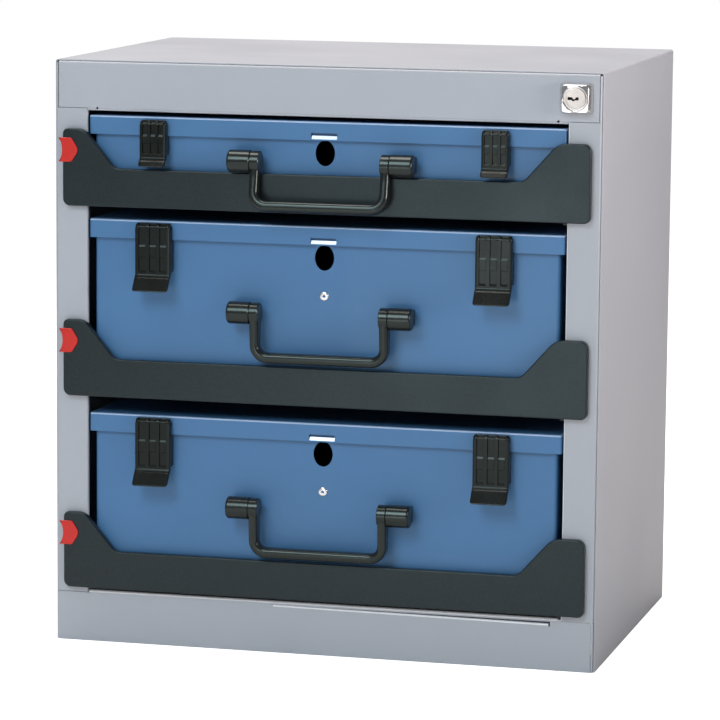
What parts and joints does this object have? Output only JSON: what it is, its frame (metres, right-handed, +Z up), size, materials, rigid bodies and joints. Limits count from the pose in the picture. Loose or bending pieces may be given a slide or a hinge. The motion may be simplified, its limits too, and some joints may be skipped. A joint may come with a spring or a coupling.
{
  "type": "drill bit case cabinet",
  "caption": "Steel cabinet with pull-out trays that hold latched sheet-steel cases with hinged lids and bail handles, plus a cam lock.",
  "frame": {"origin": "middle of the footprint, on the surface that the cabinet stands on", "axes": "+Z up, the front with the trays faces -Y, +X to the right as seen from the front"},
  "size_m": [0.505, 0.3756, 0.535],
  "materials": {
    "cabinet_paint": "light blue-grey powder coat, satin",
    "case_paint": "mid blue stoved paint, satin",
    "rail_plastic": "charcoal moulded plastic with a fine grain",
    "button_plastic": "red moulded plastic",
    "tray_steel": "black paint",
    "slide_steel": "zinc plated slide steel",
    "handle_plastic": "black moulded plastic, semi-gloss",
    "latch_plastic": "black moulded plastic, semi-gloss",
    "zinc_steel": "bright zinc plate",
    "rivet_steel": "bright rivet",
    "lock_chrome": "bright chrome"
  },
  "bodies": {
    "cabinet": {"outer_shell": "cabinet_paint", "back_panel": "cabinet_paint", "floor_pan": "cabinet_paint", "plinth": "cabinet_paint", "top_fascia": "cabinet_paint", "left_stile": "cabinet_paint", "right_stile": "cabinet_paint", "slide_supports": "cabinet_paint", "slide_outers": "slide_steel", "lock_housing": "lock_chrome"},
    "lock_barrel": {"lock_barrel": "lock_chrome"},
    "locking_bar": {"locking_bar": "zinc_steel"},
    "top_slides": {"top_slide_middles": "slide_steel"},
    "top_tray": {"top_tray": "tray_steel", "top_front_rail": "rail_plastic", "top_slide_runners": "slide_steel", "top_button_spring": "zinc_steel"},
    "top_button": {"top_release_button": "button_plastic"},
    "top_case": {"top_case_body": "case_paint", "top_handle_pivots": "handle_plastic", "top_latch_catches": "zinc_steel", "top_lid_hinge_pins": "zinc_steel"},
    "top_lid": {"top_case_lid": "case_paint", "top_latch_hinges": "zinc_steel"},
    "top_handle": {"top_case_handle": "handle_plastic"},
    "top_latch_left": {"top_latch_left": "latch_plastic"},
    "top_latch_right": {"top_latch_right": "latch_plastic"},
    "middle_slides": {"middle_slide_middles": "slide_steel"},
    "middle_tray": {"middle_tray": "tray_steel", "middle_front_rail": "rail_plastic", "middle_slide_runners": "slide_steel", "middle_button_spring": "zinc_steel"},
    "middle_button": {"middle_release_button": "button_plastic"},
    "middle_case": {"middle_case_body": "case_paint", "middle_handle_pivots": "handle_plastic", "middle_latch_catches": "zinc_steel", "middle_lid_hinge_pins": "zinc_steel", "middle_case_rivet": "rivet_steel"},
    "middle_lid": {"middle_case_lid": "case_paint", "middle_latch_hinges": "zinc_steel"},
    "middle_handle": {"middle_case_handle": "handle_plastic"},
    "middle_latch_left": {"middle_latch_left": "latch_plastic"},
    "middle_latch_right": {"middle_latch_right": "latch_plastic"},
    "bottom_slides": {"bottom_slide_middles": "slide_steel"},
    "bottom_tray": {"bottom_tray": "tray_steel", "bottom_front_rail": "rail_plastic", "bottom_slide_runners": "slide_steel", "bottom_button_spring": "zinc_steel"},
    "bottom_button": {"bottom_release_button": "button_plastic"},
    "bottom_case": {"bottom_case_body": "case_paint", "bottom_handle_pivots": "handle_plastic", "bottom_latch_catches": "zinc_steel", "bottom_lid_hinge_pins": "zinc_steel", "bottom_case_rivet": "rivet_steel"},
    "bottom_lid": {"bottom_case_lid": "case_paint", "bottom_latch_hinges": "zinc_steel"},
    "bottom_handle": {"bottom_case_handle": "handle_plastic"},
    "bottom_latch_left": {"bottom_latch_left": "latch_plastic"},
    "bottom_latch_right": {"bottom_latch_right": "latch_plastic"}
  },
  "joints": [
    {"name": "lock_turn", "type": "hinge", "parent": "cabinet", "child": "lock_barrel", "pos_m": [0.2285, -0.16221, 0.5125], "axis": [0, -1, 0], "range_deg": [0, 90]},
    {"name": "locking_bar_lift", "type": "slide", "parent": "cabinet", "child": "locking_bar", "axis": [0, 0, 1], "range_m": [0, 0.008]},
    {"name": "top_tray_pull", "type": "slide", "parent": "cabinet", "child": "top_tray", "axis": [0, -1, 0], "range_m": [0, 0.3]},
    {"name": "top_slides_follow", "type": "slide", "parent": "cabinet", "child": "top_slides", "axis": [0, -1, 0], "range_m": [0, 0.15]},
    {"name": "top_button_press", "type": "slide", "parent": "top_tray", "child": "top_button", "axis": [1, 0, 0], "range_m": [0, 0.003], "stiffness_N_per_m": 900, "springref_m": -0.001, "deforming": ["top_button_spring"]},
    {"name": "top_case_lift", "type": "slide", "parent": "top_tray", "child": "top_case", "axis": [0, 0, 1], "range_m": [0, 0.003]},
    {"name": "top_lid_hinge", "type": "hinge", "parent": "top_case", "child": "top_lid", "pos_m": [0, 0.17079, 0.4693], "axis": [-1, 0, 0], "range_deg": [0, 0.6]},
    {"name": "top_handle_swing", "type": "hinge", "parent": "top_case", "child": "top_handle", "pos_m": [0, -0.17271, 0.4488], "axis": [-1, 0, 0], "range_deg": [0, 80]},
    {"name": "top_latch_left_swing", "type": "hinge", "parent": "top_lid", "child": "top_latch_left", "pos_m": [-0.1575, -0.16651, 0.4786], "axis": [-1, 0, 0], "range_deg": [0, 100]},
    {"name": "top_latch_right_swing", "type": "hinge", "parent": "top_lid", "child": "top_latch_right", "pos_m": [0.1575, -0.16651, 0.4786], "axis": [-1, 0, 0], "range_deg": [0, 100]},
    {"name": "middle_tray_pull", "type": "slide", "parent": "cabinet", "child": "middle_tray", "axis": [0, -1, 0], "range_m": [0, 0.3]},
    {"name": "middle_slides_follow", "type": "slide", "parent": "cabinet", "child": "middle_slides", "axis": [0, -1, 0], "range_m": [0, 0.15]},
    {"name": "middle_button_press", "type": "slide", "parent": "middle_tray", "child": "middle_button", "axis": [1, 0, 0], "range_m": [0, 0.003], "stiffness_N_per_m": 900, "springref_m": -0.001, "deforming": ["middle_button_spring"]},
    {"name": "middle_case_lift", "type": "slide", "parent": "middle_tray", "child": "middle_case", "axis": [0, 0, 1], "range_m": [0, 0.004]},
    {"name": "middle_lid_hinge", "type": "hinge", "parent": "middle_case", "child": "middle_lid", "pos_m": [0, 0.17079, 0.3753], "axis": [-1, 0, 0], "range_deg": [0, 1]},
    {"name": "middle_handle_swing", "type": "hinge", "parent": "middle_case", "child": "middle_handle", "pos_m": [0, -0.17271, 0.3123], "axis": [-1, 0, 0], "range_deg": [-10, 95]},
    {"name": "middle_latch_left_swing", "type": "hinge", "parent": "middle_lid", "child": "middle_latch_left", "pos_m": [-0.1575, -0.16651, 0.3854], "axis": [-1, 0, 0], "range_deg": [0, 100]},
    {"name": "middle_latch_right_swing", "type": "hinge", "parent": "middle_lid", "child": "middle_latch_right", "pos_m": [0.1575, -0.16651, 0.3854], "axis": [-1, 0, 0], "range_deg": [0, 100]},
    {"name": "bottom_tray_pull", "type": "slide", "parent": "cabinet", "child": "bottom_tray", "axis": [0, -1, 0], "range_m": [0, 0.3]},
    {"name": "bottom_slides_follow", "type": "slide", "parent": "cabinet", "child": "bottom_slides", "axis": [0, -1, 0], "range_m": [0, 0.15]},
    {"name": "bottom_button_press", "type": "slide", "parent": "bottom_tray", "child": "bottom_button", "axis": [1, 0, 0], "range_m": [0, 0.003], "stiffness_N_per_m": 900, "springref_m": -0.001, "deforming": ["bottom_button_spring"]},
    {"name": "bottom_case_lift", "type": "slide", "parent": "bottom_tray", "child": "bottom_case", "axis": [0, 0, 1], "range_m": [0, 0.006]},
    {"name": "bottom_lid_hinge", "type": "hinge", "parent": "bottom_case", "child": "bottom_lid", "pos_m": [0, 0.17079, 0.1972], "axis": [-1, 0, 0], "range_deg": [0, 1.5]},
    {"name": "bottom_handle_swing", "type": "hinge", "parent": "bottom_case", "child": "bottom_handle", "pos_m": [0, -0.17271, 0.1342], "axis": [-1, 0, 0], "range_deg": [-10, 95]},
    {"name": "bottom_latch_left_swing", "type": "hinge", "parent": "bottom_lid", "child": "bottom_latch_left", "pos_m": [-0.1575, -0.16651, 0.2073], "axis": [-1, 0, 0], "range_deg": [0, 100]},
    {"name": "bottom_latch_right_swing", "type": "hinge", "parent": "bottom_lid", "child": "bottom_latch_right", "pos_m": [0.1575, -0.16651, 0.2073], "axis": [-1, 0, 0], "range_deg": [0, 100]}
  ],
  "couplings": [
    {"joint": "lock_turn", "follows": "locking_bar_lift", "rad_per_m": 196.35},
    {"joint": "top_slides_follow", "follows": "top_tray_pull", "ratio": 0.5},
    {"joint": "middle_slides_follow", "follows": "middle_tray_pull", "ratio": 0.5},
    {"joint": "bottom_slides_follow", "follows": "bottom_tray_pull", "ratio": 0.5}
  ]
}
